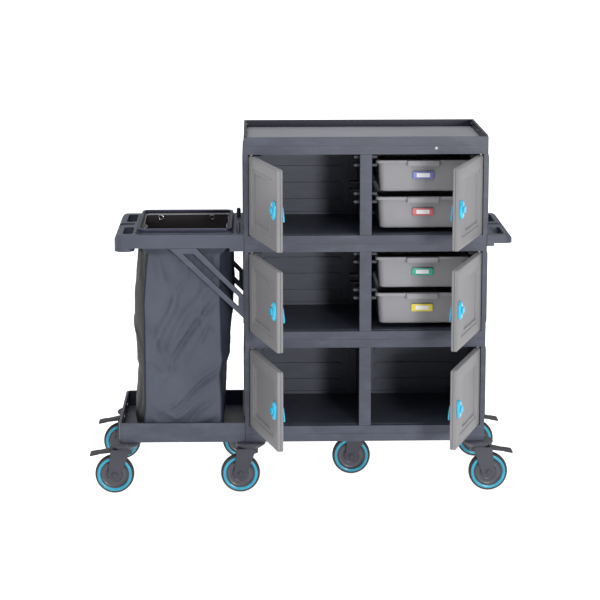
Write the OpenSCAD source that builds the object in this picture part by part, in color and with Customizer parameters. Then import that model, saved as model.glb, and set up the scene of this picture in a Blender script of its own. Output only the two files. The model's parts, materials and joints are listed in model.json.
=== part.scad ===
// Housekeeping cart: cabinet with six doors and four drawers, side bag module, seven casters
// Frame: +X right, +Y rear, +Z up, floor at z = 0, origin below the middle caster

/* [Cabinet] */
// Cabinet width
cab_w = 762; // [700:1:820]
// Cabinet depth
cab_d = 445; // [420:1:480]
// Height of the base deck's underside
base_z = 168; // [164:1:176]
// Base deck height
deck_h = 51; // [44:1:60]
// Middle shelf height
shelf_h = 52; // [44:1:60]
// Clear height of one row of compartments
open_h = 255; // [250:1:262]
// Height of the top tray at its front
top_h = 54; // [48:1:60]
// Depth of the top tray below its front edge
top_recess = 19; // [14:1:24]
// Rim height above the tray floor
rim_h = 24; // [20:1:32]
// Rim wall thickness
rim_t = 9; // [6:1:10]
// Width of the outer front posts
post_w = 14; // [12:1:20]
// Width of the middle front post
mid_w = 38; // [34:1:44]
// Depth of the front posts
post_d = 20; // [16:1:20]
// Side panel thickness
side_t = 12; // [10:1:12]
// How far the side panels bulge outwards
bulge = 4; // [2:1:6]
// Middle divider thickness
div_t = 12; // [10:1:14]
// Back panel thickness
back_t = 8; // [6:1:12]
// Height of a rib pressed into the back panel
rib_h = 29; // [20:1:32]
// Distance from one back rib to the next
rib_pitch = 55; // [50:1:60]
// How far a back rib stands out
rib_out = 5; // [3:1:6]

/* [Doors] */
// Door thickness
door_t = 19; // [17:1:20]
// Gap between a door and its posts
door_gap = 0.5; // [0.4:0.1:1.2]
// Gap below a door
door_low = 2; // [1:0.5:3]
// Gap above a door
door_high = 5; // [4:0.5:6]
// Hinge pin radius
hinge_r = 4; // [3:0.5:5]
// Length of hinge pin inside a door
hinge_len = 11; // [8:1:14]
// Opening of the left doors as stored, in degrees
left_open = 75.5; // [60:0.5:90]
// Opening of the right doors as stored, in degrees
right_open = 71.5; // [60:0.5:90]
// Distance from a door's free edge to its latch
latch_in = 27; // [24:1:30]
// Width of the latch plate
plate_w = 34; // [28:1:38]
// Height of the latch plate
plate_h = 57; // [50:1:62]
// How far the latch plate's dome stands out
plate_t = 9; // [7:0.5:11]
// Latch knob radius
knob_r = 11; // [9:1:13]
// How far the latch knob stands out of its plate
knob_t = 5; // [4:0.5:7]
// Latch spindle radius
spin_r = 6; // [5:0.5:7]
// Length of the latch hook from its spindle axis
hook_len = 36; // [33:1:38]
// Latch hook thickness
hook_t = 5; // [4:0.5:5]

/* [Drawers] */
// Drawer width over the rim
tray_w = 299; // [290:1:302]
// Drawer length over the rim
tray_l = 385; // [370:1:386]
// Drawer height
tray_h = 100; // [90:1:102]
// Drawer wall thickness
tray_t = 3; // [2.5:0.5:4]
// Rim overhang around a drawer
lip_w = 8; // [7:1:10]
// Rim height of a drawer
lip_h = 10; // [8:1:10]
// How much each drawer wall leans in towards its base
taper = 6; // [4:1:9]
// X position of the drawer centres
tray_x = 181.5; // [180:0.5:184]
// Recess of the drawer fronts behind the cabinet front
tray_in = 32.5; // [31:0.5:40]
// Length of a runner peg
peg_l = 30; // [20:1:45]
// Thickness of a runner peg
rail_t = 9; // [7:1:10]
// Height of the lower runner pair's axis above its compartment floor
rail_low = 101; // [96:1:106]
// Distance from one drawer level to the next
rail_step = 116; // [112:1:118]
// Distance between the two pegs that guide one drawer rim
rail_gap = 26; // [24:1:28]
// Overlap of a drawer rim on its pegs
rail_lap = 5; // [4:0.5:6]
// Width of the finger grip on a drawer
grip_w = 104; // [80:1:120]
// How far the finger grip stands out
grip_out = 11; // [8:1:12]
// Label holder width
label_w = 68; // [55:1:75]
// Label holder height
label_h = 24; // [20:1:28]
// Label holder thickness
label_t = 3; // [2:0.5:4]

/* [Bag module] */
// Length of the bag module
bag_l = 402; // [380:1:430]
// Height of the platform wall
plat_h = 63; // [50:1:66]
// Platform wall thickness
plat_t = 8; // [6:1:10]
// Platform floor thickness
plat_floor = 12; // [10:1:16]
// Height of the bag frame's top above the upper shelf
frame_up = 4; // [0:1:8]
// Height of the bag frame's bars
frame_h = 42; // [36:1:48]
// Extra depth of the bag frame at its ends
frame_drop = 11; // [6:1:16]
// How far the bag frame passes the platform
frame_over = 4; // [0:1:10]
// Bag opening length
mouth_l = 278; // [260:1:290]
// Bag opening width
mouth_w = 374; // [350:1:380]
// Distance of the bag opening from the cabinet
mouth_in = 47; // [44:1:54]
// Hoop tube radius
hoop_r = 5.5; // [4:0.5:6]
// Bag cloth thickness
cloth = 2; // [1.5:0.5:3]
// How far the bag bulges past its mouth at the free end
bag_left = 30; // [10:1:40]
// How far the bag bulges past its mouth towards the cabinet
bag_right = 8; // [2:1:16]
// How far the bag bulges past its mouth at the front and back
bag_deep = 13; // [4:1:16]
// Brace bar width
brace_w = 19; // [14:1:22]
// Brace thickness
brace_t = 14; // [8:1:16]
// Height of the two pegs on the bag frame
peg_h = 32; // [24:1:40]
// Push handle reach
handle_l = 80; // [70:1:86]
// Push handle thickness
handle_h = 26; // [22:1:32]
// Rounding of the frame and handle ends
nose_r = 17; // [8:1:20]
// How far the grip slots reach in from an end
slot_to = 57; // [45:1:58]

/* [Casters] */
// Wheel radius
wheel_r = 62.5; // [60:0.5:64]
// Tyre width
wheel_w = 32; // [28:1:34]
// Axle radius
axle_r = 5; // [4:0.5:6]
// Running clearance of pins and axles
fit = 0.05; // [0.02:0.01:0.1]
// Trail of the wheel behind the swivel axis
trail = 33; // [28:1:38]
// Distance from the cabinet's end to the swivel axes
caster_in = 17; // [14:1:22]
// Distance from the cabinet's front to the swivel axes
caster_in_y = 20; // [16:1:26]
// Bumper disc radius
bumper_r = 48; // [44:1:52]
// Bumper disc height
bumper_h = 22; // [18:1:24]
// Swivel stem radius
stem_r = 7; // [6:0.5:9]
// Fork leg thickness
leg_t = 5; // [4:0.5:6]
// Gap between a wheel and its fork legs
leg_gap = 3; // [2:0.5:5]
// Pedal reach from the swivel axis
pedal_l = 111; // [104:1:116]
// Pedal width
pedal_w = 46; // [36:1:56]
// Pedal thickness
pedal_t = 5; // [4:0.5:6]

/* [Hidden] */
$fn = 64;
hx = cab_w / 2;
hy = cab_d / 2;
row_z = [base_z + deck_h, base_z + deck_h + open_h + shelf_h,
         base_z + deck_h + 2 * (open_h + shelf_h)];
top_z = row_z[2] + open_h;
floor_z = top_z + top_h - top_recess;
frame_z = row_z[2] + frame_up;
pad_h = 1;
pocket_in = 70;
pocket_out = 81;
pocket_end = 34.5;
open_w = (cab_w - 2 * post_w - mid_w) / 2;
piv_in = door_t / 2 + door_gap;
piv_x = hx - post_w - piv_in;
piv_y = -hy + door_t / 2;
door_w = open_w - piv_in - 2 * door_gap;
door_h = open_h - door_low - door_high;
slat_y = hy - 6 - back_t;
slip = 0.4;
mod_x = -hx - bag_l;
mouth_r = -hx - mouth_in;
mouth_x = mouth_r - mouth_l / 2;
cy = hy - caster_in_y;
crown_top = base_z - bumper_h - slip;
crown_low = 2 * wheel_r + 4;
brake_x = 37;
brake_z = 139;
brake_r = 3;
pedal_drop = 9;
casters = [[mod_x + caster_in, -cy, -1], [mod_x + caster_in, cy, -1],
           [-hx + caster_in, -cy, -1], [-hx + caster_in, cy, -1],
           [hx - caster_in, -cy, 1], [hx - caster_in, cy, 1], [0, 0, -1]];
slate = [0.38, 0.39, 0.44];
warm = [0.58, 0.56, 0.54];
pale = [0.58, 0.58, 0.61];
cyan = [0.05, 0.62, 0.84];
navy = [0.13, 0.14, 0.24];
grey = [0.32, 0.34, 0.38];
steel = [0.75, 0.76, 0.78];

module box(a, b) {
  translate(a) cube(b - a);
}

// A bar with its long edges rounded, along Y
module bar_y(a, b, r) {
  hull() for (x = [a[0] + r, b[0] - r]) for (z = [a[2] + r, b[2] - r])
    translate([x, a[1], z]) rotate([-90, 0, 0]) cylinder(r = r, h = b[1] - a[1], $fn = 24);
}

// A block with rounded upright edges
module slab(a, b, r) {
  box([a[0] + r, a[1], a[2]], [b[0] - r, b[1], b[2]]);
  box([a[0], a[1] + r, a[2]], [b[0], b[1] - r, b[2]]);
  for (x = [a[0] + r, b[0] - r]) for (y = [a[1] + r, b[1] - r])
    translate([x, y, a[2]]) cylinder(r = r, h = b[2] - a[2]);
}

// One pocket in the underside of a pan, right of the middle
module pan_pocket(z0, z1) {
  box([pocket_in, pocket_end - hy, z0], [hx - pocket_out, hy - pocket_end, z1]);
}

// A pan with a pocket below each half, a seam in its front edge and a raised floor in each half
module pan(z, h) {
  difference() {
    slab([-hx, -hy, z], [hx, hy, z + h], 3);
    for (m = [0, 1]) mirror([m, 0, 0]) pan_pocket(z - 1, z + h - 10);
    box([-hx - 1, -hy - 1, z + h / 2 - 0.6], [hx + 1, -hy + 0.8, z + h / 2 + 0.6]);
  }
  for (m = [0, 1]) mirror([m, 0, 0])
    slab([div_t / 2 + 1, -hy + post_d + 2, z + h - 2], [hx - side_t - 1, slat_y - rib_out - 1, z + h + pad_h], 4);
}

// Door pins standing up from or hanging down from a deck
module pins_up(z) {
  for (s = [-1, 1]) translate([s * piv_x, piv_y, z]) {
    cylinder(r = hinge_r + 3, h = door_low - 1);
    cylinder(r = hinge_r, h = door_low + hinge_len);
  }
}

module pins_down(z) {
  for (s = [-1, 1]) translate([s * piv_x, piv_y, z - door_high - hinge_len]) {
    cylinder(r = hinge_r, h = door_high + hinge_len);
    translate([0, 0, hinge_len + 1]) cylinder(r = hinge_r + 3, h = door_high - 1);
  }
}

module base_deck() color(slate) pan(base_z, deck_h);

module mid_shelves() color(slate) for (i = [1, 2]) pan(row_z[i] - shelf_h, shelf_h);

module top_tray() color(slate) {
  difference() {
    slab([-hx, -hy, top_z], [hx, hy, floor_z], 3);
    for (m = [0, 1]) mirror([m, 0, 0]) pan_pocket(top_z - 1, floor_z - 8);
    box([-hx - 1, -hy - 1, top_z + top_h / 2 - 0.6], [hx + 1, -hy + 0.8, top_z + top_h / 2 + 0.6]);
  }
  slab([rim_t + 5 - hx, -hy + 11, floor_z - 2], [hx - rim_t - 5, hy - rim_t - 1.5, floor_z + pad_h], 6);
  slab([-hx, -hy, floor_z - 4], [hx, -hy + 10, top_z + top_h], 3);
}

module tray_rim() color([0.2, 0.21, 0.25]) difference() {
  union() {
    slab([-hx + 1, -hy + 10, floor_z], [hx - 1, hy - 0.5, floor_z + rim_h], 4);
    box([-hx + 1, -hy + 10, floor_z], [-hx + 12, -hy + 20, floor_z + rim_h]);
    box([hx - 12, -hy + 10, floor_z], [hx - 1, -hy + 20, floor_z + rim_h]);
  }
  slab([-hx + 1 + rim_t, -hy - 20, floor_z - 1], [hx - 1 - rim_t, hy - 0.5 - rim_t, floor_z + rim_h + 1], 6);
}

// Left panel of one row with its front post
module side_panel(z) {
  box([-hx, -hy + post_d, z], [-hx + side_t, hy, z + open_h]);
  box([-hx, -hy, z], [-hx + post_w, -hy + post_d, z + open_h]);
  translate([-hx - bulge, 0, 0]) slab_x(bulge + 1, brace_t + 2 - hy, hy - 2 - brace_t, z + 22, z + open_h - 6, 14);
}

// A plate with rounded corners that faces +X
module slab_x(t, y0, y1, z0, z1, r) {
  rotate([90, 0, 90]) slab([y0, z0, 0], [y1, z1, t], r);
}

module side_panels() color(slate) for (z = row_z) {
  side_panel(z);
  mirror([1, 0, 0]) side_panel(z);
}

module dividers() color(slate) for (z = row_z) {
  box([-mid_w / 2, -hy, z], [mid_w / 2, -hy + post_d, z + open_h]);
  box([-div_t / 2, -hy + post_d, z], [div_t / 2, hy, z + open_h]);
}

// A stadium-ended rib that faces the front
module rib(x0, x1, z, h) {
  r = h / 2 - 1;
  translate([0, slat_y, 0]) rotate([90, 0, 0])
    slab([x0, z, -1], [x1, z + h, rib_out], r);
}

module back_panel(z) {
  x0 = div_t / 2;
  x1 = hx - side_t;
  box([x0, slat_y, z], [x1, slat_y + back_t, z + open_h]);
  difference() {
    box([x0, slat_y - rib_out, z], [x1, slat_y + 1, z + open_h]);
    box([x0 + 26, slat_y - rib_out - 1, z + 10], [x1 - 26, slat_y, z + open_h - 10]);
  }
  for (i = [0 : 3]) rib(x0 + 48, x1 - 48, z + 24 + i * rib_pitch, rib_h);
}

module back_panels() color(slate) for (z = row_z) {
  back_panel(z);
  mirror([1, 0, 0]) back_panel(z);
}

// A front and a rear runner peg with a rounded edge towards the drawer
module runner(x0, x1, zc, s) {
  xr = s > 0 ? x1 - rail_t / 2 : x0 + rail_t / 2;
  xf = s > 0 ? x0 : x1;
  for (y = [-hy + tray_in, tray_l - hy - 103]) {
    box([min(xr, xf), y, zc - rail_t / 2], [max(xr, xf), y + peg_l, zc + rail_t / 2]);
    translate([xr, y, zc]) rotate([-90, 0, 0]) cylinder(r = rail_t / 2, h = peg_l);
  }
}

module runners(z) {
  xa = tray_x - tray_w / 2 + rail_lap;
  xb = tray_x + tray_w / 2 - rail_lap;
  for (i = [0, 1]) for (k = [0, 1]) {
    zc = z + rail_low + i * rail_step + k * rail_gap;
    runner(div_t / 2, xa, zc, 1);
    runner(xb, hx - side_t, zc, -1);
  }
}

module drawer_runners() color(grey) for (i = [1, 2]) {
  runners(row_z[i]);
  mirror([1, 0, 0]) runners(row_z[i]);
}

// Cut that rounds the top edge of a frame end at x, facing s
module nose(x, z, s) {
  difference() {
    box([min(x + s, x - s * nose_r), -hy - 1, z - nose_r], [max(x + s, x - s * nose_r), hy + 1, z + 1]);
    translate([x - s * nose_r, 0, z - nose_r]) rotate([90, 0, 0]) cylinder(r = nose_r, h = cab_d + 4, center = true);
  }
}

// Cuts shared by both frame ends: two grip slots and a notch open towards the end x, facing s
module end_cuts(x, z0, z1, s) {
  for (y = [[-195, -66], [42, 192]])
    slab([min(x - s * 25, x - s * slot_to), y[0], z0 - 1], [max(x - s * 25, x - s * slot_to), y[1], z1 + 1], 11);
  translate([x, 0, z1 - 7]) linear_extrude(8) polygon([[s, -21], [-s * 54, -12], [-s * 54, 12], [s, 21]]);
  nose(x, z1, s);
}

module push_handle() color(slate) {
  z1 = frame_z - 5;
  z0 = z1 - handle_h;
  difference() {
    union() {
      slab([hx, -hy, z0], [hx + handle_l, hy, z1], 24);
      box([hx, -hy, z0 - 9], [hx + 22, hy, z1]);
    }
    end_cuts(hx + handle_l, z0, z1, 1);
  }
}

module bag_frame() color(slate) {
  x0 = mod_x - frame_over;
  difference() {
    union() {
      slab([x0, -hy, frame_z - frame_h], [-hx, hy, frame_z], 26);
      box([-hx - 40, -hy, frame_z - frame_h], [-hx, hy, frame_z]);
      slab([x0, -hy, frame_z - frame_h - frame_drop], [x0 + 62, hy, frame_z - 10], 26);
      box([-hx - 45, -hy, frame_z - frame_h - frame_drop], [-hx, hy, frame_z - 10]);
      slab([mouth_r - mouth_l - 16, -mouth_w / 2 - 16, frame_z - 10],
           [mouth_r + 16, mouth_w / 2 + 16, frame_z + 4], 26);
    }
    slab([mouth_r - mouth_l, -mouth_w / 2, frame_z - frame_h - frame_drop - 1],
         [mouth_r, mouth_w / 2, frame_z + 5], 14);
    end_cuts(x0, frame_z - frame_h - frame_drop, frame_z, -1);
    box([x0 + 62, -hy - 1, frame_z - frame_h - frame_drop - 1],
        [-hx - 45, hy + 1, frame_z - frame_h]);
  }
  for (y = [-170, 125]) translate([-hx - 18, y, frame_z - 2]) {
    cylinder(r = 7, h = peg_h - 3);
    translate([0, 0, peg_h - 3]) cylinder(r1 = 7, r2 = 4.5, h = 5);
  }
}

module bag_hoop() color(navy) translate([mouth_x, 0, frame_z + 4 + cloth + hoop_r - 0.5]) {
  a = mouth_l / 2 + 6;
  b = mouth_w / 2 + 6;
  r = 20;
  for (s = [-1, 1]) {
    translate([-a + r, s * b, 0]) rotate([0, 90, 0]) cylinder(r = hoop_r, h = 2 * (a - r));
    translate([s * a, -b + r, 0]) rotate([-90, 0, 0]) cylinder(r = hoop_r, h = 2 * (b - r));
  }
  for (k = [0 : 3]) translate([(k == 0 || k == 3 ? 1 : -1) * (a - r), (k < 2 ? 1 : -1) * (b - r), 0])
    rotate([0, 0, k * 90]) rotate_extrude(angle = 90) translate([r, 0]) circle(r = hoop_r);
}

// Bag outline grown by g, between two heights
module bag_box(g, z0, z1) {
  slab([mouth_r - mouth_l - g, -mouth_w / 2 - g, z0], [mouth_r + g, mouth_w / 2 + g, z1], max(14 + g, 3));
}

// Bag body drawn in by g on every side, between two heights
module bag_body(g, z0, z1) {
  slab([mouth_r - mouth_l - bag_left + g, g - mouth_w / 2 - bag_deep, z0],
       [mouth_r + bag_right - g, mouth_w / 2 + bag_deep - g, z1], 34 - g);
}

module bag() color([0.33, 0.35, 0.4]) {
  zf = base_z + plat_floor;
  zn = frame_z - frame_h - frame_drop - 6;
  difference() {
    union() {
      bag_body(0, zf, zn);
      bag_box(-slip, zn - 1, frame_z + 4 + cloth);
      bag_box(15, frame_z + 4, frame_z + 4 + cloth);
    }
    bag_body(cloth, zf + cloth, zn - cloth);
    bag_box(-slip - cloth, zn - cloth - 1, frame_z + 5 + cloth);
  }
}

module bag_platform() color(slate) difference() {
  union() {
    slab([mod_x, -hy, base_z], [-hx - 1, hy, base_z + plat_h], 16);
    box([-hx - 40, -hy, base_z], [-hx, hy, base_z + plat_h]);
  }
  slab([mod_x + plat_t, -hy + plat_t, base_z + plat_floor],
       [-hx - plat_t, hy - plat_t, base_z + plat_h + 1], 8);
}

// One brace seen from the front: two bars with a slot between them
module brace() {
  zt = frame_z - frame_h;
  p = [[-hx - 236, zt], [-hx - 149, zt], [-hx, zt - 155], [-hx, zt - 228], [-hx - 22, zt - 206]];
  q = [[-hx - 190, zt - brace_w], [-hx - 158, zt - brace_w],
       [-hx - brace_w, zt - 155], [-hx - brace_w, zt - 187]];
  rotate([90, 0, 0]) linear_extrude(brace_t) difference() {
    polygon(p);
    polygon(q);
  }
}

module bag_braces() color(slate) {
  translate([0, -hy + 1 + brace_t, 0]) brace();
  translate([0, hy - 1, 0]) brace();
}

module caster_housings() color(grey) for (c = casters) translate([c[0], c[1], base_z - bumper_h])
  difference() {
    union() {
      cylinder(r1 = bumper_r - 18, r2 = bumper_r, h = bumper_h - 9);
      translate([0, 0, bumper_h - 9]) cylinder(r = bumper_r, h = 6);
      translate([0, 0, bumper_h - 5]) cylinder(r = bumper_r - 3, h = 5);
    }
    translate([0, 0, -1]) cylinder(r = stem_r + fit, h = bumper_h - 2);
  }

module frame_fasteners() color(steel) {
  for (z = row_z) {
    pins_up(z);
    pins_down(z + open_h);
  }
  for (s = [-1, 1]) for (y = [-15, 190])
    translate([s * (hx - 1 - rim_t - 2.5), y, floor_z + rim_h / 2]) rotate([0, s * 90, 0]) {
      cylinder(r = 3.5, h = 2.5);
    }
  translate([0.573 * hx, -hy - 1.5, top_z + top_h / 2 - 8]) rotate([-90, 0, 0]) cylinder(r = 4.5, h = 1.5);
  for (y = [-60, 90]) translate([mod_x + plat_t, y, base_z + 44]) rotate([0, 90, 0]) cylinder(r = 7, h = 3);
  translate([hx + 46, 0, frame_z - 12]) cylinder(r = 5, h = 2);
}

// Fork with its swivel stem, axle and brake pin; the wheel trails towards +X
module fork_shape() {
  w = wheel_w / 2 + leg_gap;
  translate([0, 0, crown_low]) cylinder(r = w + leg_t, h = crown_top - crown_low);
  box([0, -w - leg_t, crown_low], [24, w + leg_t, crown_top - 3]);
  translate([0, 0, crown_top - 2]) cylinder(r = stem_r, h = bumper_h - 1);
  for (s = [-1, 1]) translate([0, s * (w + leg_t / 2), 0]) rotate([90, 0, 0])
    translate([0, 0, -leg_t / 2]) linear_extrude(leg_t) hull() {
      translate([trail, wheel_r]) circle(r = 20, $fn = 48);
      translate([-6, crown_low + 8]) circle(r = 8, $fn = 32);
      translate([brake_x, brake_z - 2]) circle(r = 8, $fn = 32);
    }
  translate([trail, 0, wheel_r]) rotate([90, 0, 0]) {
    cylinder(r = axle_r, h = 2 * (w + leg_t), center = true);
    for (s = [-1, 1]) translate([0, 0, s * (w + leg_t + 1.5)]) cylinder(r = 9, h = 4, center = true);
  }
}

module brake_pin() {
  w = wheel_w / 2 + leg_gap;
  translate([brake_x, 0, brake_z]) rotate([90, 0, 0]) cylinder(r = brake_r, h = 2 * w + leg_t, center = true);
}

module at_caster(i) {
  translate([casters[i][0], casters[i][1], 0]) rotate([0, 0, casters[i][2] > 0 ? 0 : 180]) children();
}

// Wheel turned about its axle: hub, ring and tyre
module wheel_shape() {
  h = wheel_w / 2;
  translate([trail, 0, wheel_r]) rotate([90, 0, 0]) rotate_extrude() polygon([
    [axle_r + fit, -h - 1], [15, -h - 1], [17, -h + 2], [40, -h + 6], [42, -h + 1], [47, -h + 1],
    [48, -h + 0.5], [54, -h + 0.5], [55, -h], [59.5, -h + 1.5], [wheel_r - 0.6, -h + 6],
    [wheel_r, -h + 10], [wheel_r, h - 10],
    [wheel_r - 0.6, h - 6], [59.5, h - 1.5], [55, h], [54, h - 0.5], [48, h - 0.5],
    [47, h - 1], [42, h - 1], [40, h - 6], [17, h - 2], [15, h + 1], [axle_r + fit, h + 1]]);
}

module pedal_shape() {
  w = wheel_w / 2 + leg_gap - slip;
  difference() {
    union() {
      translate([brake_x, 0, brake_z]) rotate([90, 0, 0]) cylinder(r = 6.5, h = 2 * w, center = true);
      rotate([90, 0, 0]) linear_extrude(2 * w, center = true) polygon([
        [brake_x, brake_z + 6.5], [brake_x + 3, brake_z + 6], [pedal_l - 26, brake_z - 4],
        [pedal_l - 26, brake_z - 4 - pedal_t], [brake_x + 3, brake_z - 4], [brake_x, brake_z - 3]]);
      rotate([90, 0, 0]) linear_extrude(pedal_w, center = true) polygon([
        [pedal_l - 28, brake_z - 3.5], [pedal_l - 3, brake_z - pedal_drop + 1],
        [pedal_l, brake_z - pedal_drop - 2], [pedal_l - 2, brake_z - pedal_drop - pedal_t],
        [pedal_l - 28, brake_z - 4 - pedal_t]]);
    }
    translate([brake_x, 0, brake_z]) rotate([90, 0, 0])
      cylinder(r = brake_r + fit, h = 2 * w + 2, center = true);
  }
}

// Open tub with leaning walls, rim, finger grip and label pad, front rim at y = 0
module tub(g, r, z0, z1, d0, d1) {
  hull() for (s = [-1, 1]) for (y = [0, 1]) {
    translate([s * (tray_w / 2 - lip_w - g - d0 - r), y ? tray_l - lip_w - g - d0 - r : lip_w + g + d0 + r, z0])
      cylinder(r = r, h = 0.01, $fn = 32);
    translate([s * (tray_w / 2 - lip_w - g - d1 - r), y ? tray_l - lip_w - g - d1 - r : lip_w + g + d1 + r, z1])
      cylinder(r = r, h = 0.01, $fn = 32);
  }
}

module drawer_shape() {
  difference() {
    union() {
      tub(0, 20, -tray_h, -1, taper, 0);
      slab([-tray_w / 2, 0, -lip_h], [tray_w / 2, tray_l, 0], 16);
      box([-grip_w / 2, -grip_out, -17], [grip_w / 2, lip_w + 4, 0]);
      box([-label_w / 2 + 2, lip_w - 1, -58], [label_w / 2 - 2, lip_w + 12, -62 + label_h]);
    }
    tub(tray_t, 17, -tray_h + tray_t, 0.5, taper, 0);
    difference() {
      slab([-tray_w / 2 + 2, 2, -lip_h - 1], [tray_w / 2 - 2, tray_l - 2, -3], 14);
      slab([-tray_w / 2 + lip_w - 1, lip_w - 1, -lip_h - 2], [tray_w / 2 - lip_w + 1, tray_l - lip_w + 1, 0], 20);
      box([-grip_w / 2, -1, -lip_h - 2], [grip_w / 2, lip_w, 0]);
    }
    box([-grip_w / 2 + 3, -grip_out + 3, -18], [grip_w / 2 - 3, lip_w - 1, -3]);
  }
}

module label_shape() {
  difference() {
    box([-label_w / 2, lip_w - 1 - label_t, -60], [label_w / 2, lip_w - 1, -60 + label_h]);
    box([-label_w / 2 + 12, lip_w - 2 - label_t, -55], [label_w / 2 - 12, lip_w - 2, -60 + label_h - 5]);
  }
}

module at_drawer(row, level) {
  translate([tray_x, -hy + tray_in, row_z[row] + rail_low + level * rail_step + rail_t / 2 + slip + lip_h])
    children();
}

// Rounded pocket cut into a door's outer face
module pocket(x0, x1, m, d) {
  rotate([90, 0, 0]) translate([0, 0, door_t / 2 - d]) slab([x0, m, 0], [x1, door_h - m, d + 1], 14);
}

// Door standing along +X from its hinge axis
module door_shape() {
  difference() {
    union() {
      cylinder(r = door_t / 2, h = door_h);
      box([0, -door_t / 2, 0], [door_w - 3, door_t / 2, door_h]);
      box([0, -door_t / 2 + 3, 0], [door_w, door_t / 2 - 3, door_h]);
      for (s = [-1, 1]) translate([door_w - 3, s * (door_t / 2 - 3), 0]) cylinder(r = 3, h = door_h);
    }
    translate([0, 0, -1]) cylinder(r = hinge_r + fit, h = hinge_len + 2);
    translate([0, 0, door_h - hinge_len - 1]) cylinder(r = hinge_r + fit, h = hinge_len + 2);
    pocket(42, 290, 34, 3);
    pocket(54, 236, 46, 8);
    translate([door_w - latch_in, 0, door_h / 2]) rotate([90, 0, 0])
      cylinder(r = spin_r + fit, h = door_t + 2, center = true);
    box([door_w - 0.8, 1, -1], [door_w + 1, 2, door_h + 1]);
  }
}

// One layer of an oval dome, radius a at its foot and b at its top
module oval(a, b, z0, z1) {
  m = plate_h / 2 - plate_w / 2;
  for (s = [-1, 1]) translate([0, s * m, z0]) cylinder(r1 = a, r2 = b, h = z1 - z0);
  translate([0, m, 0]) rotate([90, 0, 0]) linear_extrude(2 * m) polygon([[-a, z0], [a, z0], [b, z1], [-b, z1]]);
}

// Oval latch plate, domed, with two screws
module plate_shape() {
  r = plate_w / 2;
  translate([door_w - latch_in, -door_t / 2, door_h / 2]) rotate([90, 0, 0]) difference() {
    union() {
      oval(r, r, 0, 3);
      oval(r, r - 4, 3, plate_t - 1.5);
      oval(r - 4, r - 9, plate_t - 1.5, plate_t);
      for (s = [-1, 1]) translate([0, s * 19, plate_t - 3]) cylinder(r = 3.5, h = 4);
    }
    translate([0, 0, -1]) cylinder(r = spin_r + fit, h = plate_t + 2);
  }
}

// Knob, spindle and curved hook; the hook hangs down when unlatched
module latch_shape() {
  yo = -door_t / 2 - plate_t - slip;
  yi = door_t / 2 + 2;
  translate([door_w - latch_in, 0, door_h / 2]) {
    translate([0, yo, 0]) rotate([90, 0, 0]) difference() {
      cylinder(r = knob_r, h = knob_t - slip);
      box([-2, -knob_r - 1, knob_t - 3], [2, knob_r + 1, knob_t + 1]);
    }
    translate([0, yi + hook_t, 0]) rotate([90, 0, 0]) cylinder(r = spin_r, h = yi + hook_t - yo + 1);
    translate([0, yi + hook_t, 0]) rotate([90, 0, 0]) cylinder(r = spin_r + 3, h = hook_t);
    rotate([0, 90, 0]) linear_extrude(10, center = true) polygon([
      [-4, yi], [-4, yi + hook_t], [12, yi + hook_t + 2.5], [24, yi + hook_t + 4],
      [hook_len, yi + hook_t + 4], [hook_len, yi + 4], [24, yi + 4], [12, yi + 2.5], [2, yi]]);
  }
}

module at_left(row) {
  translate([-piv_x, piv_y, row_z[row] + door_low]) rotate([0, 0, -left_open]) children();
}

module at_right(row) {
  mirror([1, 0, 0]) translate([-piv_x, piv_y, row_z[row] + door_low]) rotate([0, 0, -right_open]) children();
}

module braked_fork(i) color(grey) at_caster(i) {
  fork_shape();
  brake_pin();
}

module plain_fork(i) color(grey) at_caster(i) fork_shape();

module fork_fl() braked_fork(0);
module fork_rl() braked_fork(1);
module fork_fm() plain_fork(2);
module fork_rm() plain_fork(3);
module fork_fr() braked_fork(4);
module fork_rr() braked_fork(5);
module fork_mid() plain_fork(6);
module wheel_fl() color(cyan) at_caster(0) wheel_shape();
module wheel_rl() color(cyan) at_caster(1) wheel_shape();
module wheel_fm() color(cyan) at_caster(2) wheel_shape();
module wheel_rm() color(cyan) at_caster(3) wheel_shape();
module wheel_fr() color(cyan) at_caster(4) wheel_shape();
module wheel_rr() color(cyan) at_caster(5) wheel_shape();
module wheel_mid() color(cyan) at_caster(6) wheel_shape();
module pedal_fl() color(slate) at_caster(0) pedal_shape();
module pedal_rl() color(slate) at_caster(1) pedal_shape();
module pedal_fr() color(slate) at_caster(4) pedal_shape();
module pedal_rr() color(slate) at_caster(5) pedal_shape();
module drawer_a() color(pale) at_drawer(2, 1) drawer_shape();
module drawer_b() color(pale) at_drawer(2, 0) drawer_shape();
module drawer_c() color(pale) at_drawer(1, 1) drawer_shape();
module drawer_d() color(pale) at_drawer(1, 0) drawer_shape();
module label_a() color([0.3, 0.33, 0.62]) at_drawer(2, 1) label_shape();
module label_b() color([0.78, 0.2, 0.2]) at_drawer(2, 0) label_shape();
module label_c() color([0.05, 0.6, 0.4]) at_drawer(1, 1) label_shape();
module label_d() color([0.9, 0.78, 0.05]) at_drawer(1, 0) label_shape();
module door_left_top() color(warm) at_left(2) door_shape();
module door_left_mid() color(warm) at_left(1) door_shape();
module door_left_low() color(warm) at_left(0) door_shape();
module door_right_top() color(warm) at_right(2) door_shape();
module door_right_mid() color(warm) at_right(1) door_shape();
module door_right_low() color(warm) at_right(0) door_shape();
module plate_left_top() color(cyan) at_left(2) plate_shape();
module plate_left_mid() color(cyan) at_left(1) plate_shape();
module plate_left_low() color(cyan) at_left(0) plate_shape();
module plate_right_top() color(cyan) at_right(2) plate_shape();
module plate_right_mid() color(cyan) at_right(1) plate_shape();
module plate_right_low() color(cyan) at_right(0) plate_shape();
module latch_left_top() color(cyan) at_left(2) latch_shape();
module latch_left_mid() color(cyan) at_left(1) latch_shape();
module latch_left_low() color(cyan) at_left(0) latch_shape();
module latch_right_top() color(cyan) at_right(2) latch_shape();
module latch_right_mid() color(cyan) at_right(1) latch_shape();
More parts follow.
